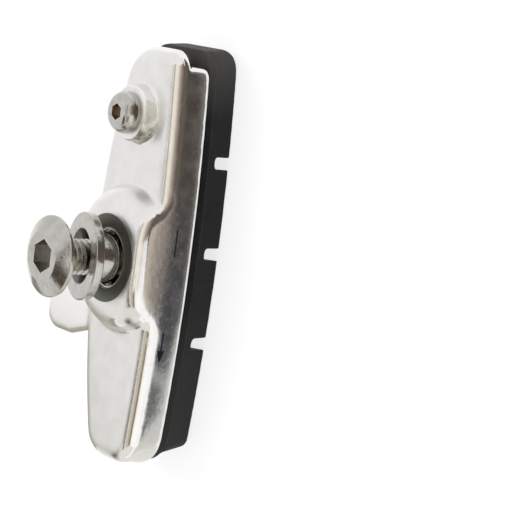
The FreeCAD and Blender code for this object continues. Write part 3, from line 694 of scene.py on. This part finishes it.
# the table in front of the outer wall, in bands along Y that change along X
tableTones = {
    "warm": (0.070, 0.058, 0.051),
    "cool": (0.058, 0.061, 0.072),
    "nearRear": (0.20, 0.19, 0.18),
    "nearFront": (0.66, 0.66, 0.64),
    "farRear": (0.14, 0.115, 0.098),
    "farMid": (0.54, 0.475, 0.40),
    "farFront": (1.08, 1.08, 1.06),
    "fleck": (0.185, 0.170, 0.160),
    "fleckNoise": (460.0, 4.0, 0.65),
    "fleckSpread": (0.0, 0.85, 0.46, 0.74),
    "gap": (0.40, 0.40, 0.39),
    "turnX": (-12.0, 6.0),
    "nearX": (8.0, 16.0),
    "midX": (-9.0, -4.5),
    "farX": (8.0, 13.0),
    "nearY": (14.7, 16.1),
    "farY": (19.4, 25.5),
    "gapStart": (17.6, 19.2),  # a paler bar across the dark, near the toe
    "gapStop": (20.2, 21.8),
    "gapRise": (0.0, 0.8),
    "gapFall": (1.0, 0.28),
    "slant": 0.6,
    "slantX": 25.0,
}


def darkTable(nodes, links, coords):
    look = tableTones
    split = nodes.new("ShaderNodeSeparateXYZ")
    links.new(coords, split.inputs[0])
    alongX, awayY = split.outputs[0], split.outputs[1]

    def band(value, key, low=0.0, high=1.0):
        start, end = (spot * mm for spot in look[key])
        return spread(nodes, links, value, low, high, start, end)

    colour = mixColours(nodes, links, band(alongX, "turnX"), look["warm"], look["cool"])
    noise = noiseNode(nodes, links, coords, *look["fleckNoise"])
    flecks = spread(nodes, links, noise, *look["fleckSpread"])
    colour = mixColours(nodes, links, flecks, colour, look["fleck"])
    rise = band(alongX, "gapStart", *look["gapRise"])
    fall = band(alongX, "gapStop", *look["gapFall"])
    gap = calc(nodes, links, "MULTIPLY", rise, fall)
    colour = mixColours(nodes, links, gap, colour, look["gap"])
    far = mixColours(nodes, links, band(alongX, "midX"), look["farRear"], look["farMid"])
    far = mixColours(nodes, links, band(alongX, "farX"), far, look["farFront"])
    colour = mixColours(nodes, links, band(awayY, "farY"), colour, far)
    near = mixColours(nodes, links, band(alongX, "nearX"), look["nearRear"], look["nearFront"])
    beyond = calc(nodes, links, "SUBTRACT", alongX, look["slantX"] * mm)
    lead = calc(nodes, links, "MULTIPLY", calc(nodes, links, "MAXIMUM", beyond, 0.0), look["slant"])
    shifted = calc(nodes, links, "SUBTRACT", awayY, lead)
    return mixColours(nodes, links, band(shifted, "nearY", 1.0, 0.0), colour, near)


# the backdrop that the ridge mirrors: bands up the card, for the rear, the boss and the front
backdropTones = {
    "levels": (0.331, 0.869),
    "rear": [(0.0, (0.40, 0.33, 0.28)), (0.15, (0.58, 0.50, 0.42)), (0.45, (0.92, 0.87, 0.77)),
             (0.74, (0.94, 0.90, 0.81)), (0.86, (0.44, 0.37, 0.29)), (1.0, (0.50, 0.44, 0.35))],
    "boss": [(0.0, (0.70, 0.65, 0.56)), (0.25, (0.95, 0.92, 0.85)), (0.72, (0.95, 0.92, 0.85)),
             (0.85, (0.42, 0.35, 0.27)), (1.0, (0.50, 0.44, 0.35))],
    "front": [(0.0, (1.12, 1.12, 1.10)), (0.32, (1.05, 1.02, 0.95)), (0.42, (0.30, 0.24, 0.17)),
              (0.56, (0.26, 0.20, 0.14)), (0.66, (0.52, 0.46, 0.36)), (0.76, (0.62, 0.57, 0.46)),
              (1.0, (0.56, 0.51, 0.41))],
    "bossX": (0.075, 0.100),
    "frontX": (0.165, 0.195),
}


def bandedBackdrop(nodes, links, coords):
    look = backdropTones
    split = nodes.new("ShaderNodeSeparateXYZ")
    links.new(coords, split.inputs[0])
    level = spread(nodes, links, split.outputs[2], 0.0, 1.0, *look["levels"])

    def zone(key):
        node = nodes.new("ShaderNodeValToRGB")
        links.new(level, node.inputs[0])
        stops = node.color_ramp.elements
        for place, colour in look[key][1:-1]:
            stops.new(place).color = colour + (1.0,)
        stops[0].color = look[key][0][1] + (1.0,)
        stops[len(stops) - 1].color = look[key][-1][1] + (1.0,)
        return node.outputs[0]

    atBoss = spread(nodes, links, split.outputs[0], 0.0, 1.0, *look["bossX"])
    atFront = spread(nodes, links, split.outputs[0], 0.0, 1.0, *look["frontX"])
    behind = mixColours(nodes, links, atBoss, zone("rear"), zone("boss"))
    return mixColours(nodes, links, atFront, behind, zone("front"))


# a small dark spot near the boss, fading outwards
hookTones = {
    "centre": (0.035, -0.0043, 0.0165),
    "dark": (0.10, 0.075, 0.05),
    "pale": (0.82, 0.815, 0.785),
    "fade": (0.0008, 0.0046),
    "stretch": (1.0, 1.0, 0.42),
}


def hook(nodes, links, coords):
    look = hookTones
    value = coords
    steps = (("SUBTRACT", look["centre"]), ("MULTIPLY", look["stretch"]), ("LENGTH", None))
    for operation, number in steps:
        node = nodes.new("ShaderNodeVectorMath")
        node.operation = operation
        links.new(value, node.inputs[0])
        if number:
            node.inputs[1].default_value = number
        value = node.outputs["Value" if operation == "LENGTH" else "Vector"]
    faded = spread(nodes, links, value, 0.0, 1.0, *look["fade"])
    return mixColours(nodes, links, faded, look["dark"], look["pale"])


def risingCard(low, high, start, end):
    def colourFrom(nodes, links, coords):
        split = nodes.new("ShaderNodeSeparateXYZ")
        links.new(coords, split.inputs[0])
        level = spread(nodes, links, split.outputs[2], 0.0, 1.0, start, end)
        return mixColours(nodes, links, level, low, high)
    return colourFrom


steepFacing = 0.8


def mirroredCard(name, colourFrom, halfX, halfY, centre, facing):
    # halfX runs along the scene's X axis, or along Y when the card faces along X; halfY runs up the card
    front = Vector(facing).normalized()
    along = Vector((1, 0, 0)) if abs(front.x) < steepFacing else Vector((0, 1, 0))
    along = (along - front * along.dot(front)).normalized()
    turn = Matrix((along, front.cross(along), front)).transposed().to_4x4()
    place = Matrix.Translation(centre) @ turn
    card = flatPanel(name, glowMaterial(name, colourFrom), halfX, halfY, place)
    card.visible_camera = False
    card.visible_diffuse = False
    card.visible_shadow = False
    card.visible_transmission = False


sand = cloudedCard((0.11, 0.092, 0.078), (0.16, 0.132, 0.112))
haze = risingCard((0.16, 0.132, 0.112), (0.42, 0.35, 0.295), 0.0, 0.2)
white = cloudedCard((1.10, 1.10, 1.08), (1.15, 1.15, 1.12))
pale = cloudedCard((0.80, 0.795, 0.765), (0.845, 0.84, 0.81))
brown = cloudedCard((0.085, 0.065, 0.042), (0.14, 0.11, 0.075))
shade = cloudedCard((0.10, 0.085, 0.065), (0.17, 0.145, 0.115))
olive = cloudedCard((0.25, 0.24, 0.19), (0.42, 0.405, 0.335))
cardLooks = [
    # name, tone, half sizes, centre, direction that the card faces
    ("table_card", darkTable, 0.060, 0.024, (0.0, 0.036, 0.0004), (0, 0, 1)),
    ("sand_card", sand, 0.16, 0.20, (-0.15, 0.26, 0.0004), (0, 0, 1)),
    ("wall_card", haze, 0.26, 0.10, (-0.23, 0.47, 0.10), (0, -1, 0)),
    ("backdrop_card", bandedBackdrop, 0.70, 0.42, (0.10, 0.51, 0.60), (0, -0.5, -0.6)),
    ("roof_card", shade, 0.45, 0.028, (0.08, 0.03, 0.80), (0, 0, -1)),
    ("brow_card", brown, 0.26, 0.15, (0.38, -0.11, 0.72), (-0.3, 0.1, -0.8)),
    ("ear_card", olive, 0.016, 0.014, (0.029, -0.034, 0.014), (-0.62, 0.77, 0)),
    ("hook_card", hook, 0.007, 0.014, hookTones["centre"], (-0.92, 0.31, -0.24)),
    ("glow_card", white, 0.30, 0.12, (0.42, 0.60, 0.12), (0, -1, 0)),
    ("toe_card", pale, 0.022, 0.030, (0.053, 0.0, 0.0004), (0, 0, 1)),
    ("front_card", pale, 0.25, 0.14, (0.30, 0.05, 0.15), (-1, 0, 0)),
]
for name, tone, halfX, halfY, centre, facing in cardLooks:
    mirroredCard(name, tone, halfX, halfY, centre, facing)

world = bpy.data.worlds.new("softStudio")
world.use_nodes = True
scene.world = world
background = world.node_tree.nodes["Background"]
background.inputs["Color"].default_value = stageLook["sky"] + (1.0,)
background.inputs["Strength"].default_value = stageLook["skyLevel"]

lampLooks = [
    # name, watts, size, place, tint
    ("keyLamp", 1.6, 0.5, (-0.30, -0.35, 0.75), (1.0, 0.985, 0.96)),
    ("fillLamp", 0.8, 0.6, (0.45, 0.55, 0.55), (0.97, 0.98, 1.0)),
]
for name, watts, span, place, tint in lampLooks:
    lamp = bpy.data.lights.new(name, "AREA")
    lamp.energy = watts
    lamp.shape = "DISK"
    lamp.size = span
    lamp.color = tint
    holder = bpy.data.objects.new(name, lamp)
    scene.collection.objects.link(holder)
    holder.visible_glossy = False
    holder.location = place
    holder.rotation_euler = (-Vector(place)).to_track_quat("-Z", "Y").to_euler()
print("stage ready")


# Camera at the photograph's viewing angle
cameraLook = {
    "place": (-0.03865, 0.22102, 0.16883),
    "right": (-0.1318, 0.6114, -0.7803),
    "down": (0.9825, 0.1854, -0.0208),
    "lens": 140.625,
    "sensor": 36.0,
    "clip": (0.01, 20.0),
}


def photoCamera(look):
    data = bpy.data.cameras.new("photoCamera")
    data.lens = look["lens"]
    data.sensor_width = look["sensor"]
    data.clip_start, data.clip_end = look["clip"]
    camera = bpy.data.objects.new("photoCamera", data)
    scene.collection.objects.link(camera)
    right = Vector(look["right"]).normalized()
    down = Vector(look["down"])
    up = -(down - right * down.dot(right)).normalized()
    back = right.cross(up)
    turn = Matrix((right, up, back)).transposed().to_4x4()
    camera.matrix_world = Matrix.Translation(look["place"]) @ turn
    scene.camera = camera


photoCamera(cameraLook)
scene.view_settings.view_transform = "Standard"
